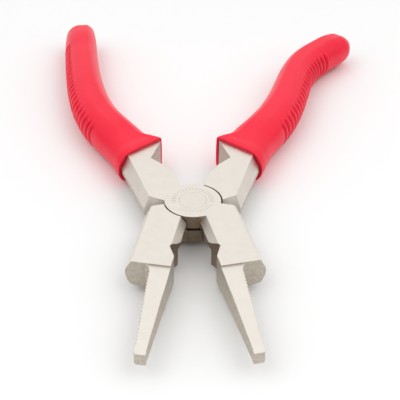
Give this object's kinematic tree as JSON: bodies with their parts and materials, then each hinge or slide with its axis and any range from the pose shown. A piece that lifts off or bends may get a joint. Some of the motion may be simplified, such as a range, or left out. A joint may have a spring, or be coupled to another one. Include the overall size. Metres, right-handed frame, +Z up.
{
  "type": "long-nose welding pliers",
  "caption": "Long-nose welding pliers: tapered rasp-edged jaws, contact-tip notch, wire cutter, riveted lap joint and ribbed red sleeve grips, one bowed and one hooked.",
  "frame": {"origin": "on the rivet's axis, at the flat underside of the joint", "axes": "+Z up along the rivet's axis, +Y towards the handles, jaws along -Y, +X to the right seen from the tips"},
  "size_m": [0.1203, 0.2031, 0.0142],
  "materials": {
    "satin_steel": "satin nickel plate over ground and forged steel",
    "rivet_steel": "peened and ground flush",
    "red_grip": "smooth satin soft vinyl"
  },
  "bodies": {
    "lower": {"lower_half": "satin_steel", "pivot_rivet": "rivet_steel", "right_grip": "red_grip"},
    "upper": {"upper_half": "satin_steel", "left_grip": "red_grip"}
  },
  "joints": [
    {"name": "pliers_pivot", "type": "hinge", "parent": "lower", "child": "upper", "pos_m": [0, 0, 0.0051], "axis": [0, 0, 1], "range_deg": [-24, 12]}
  ]
}
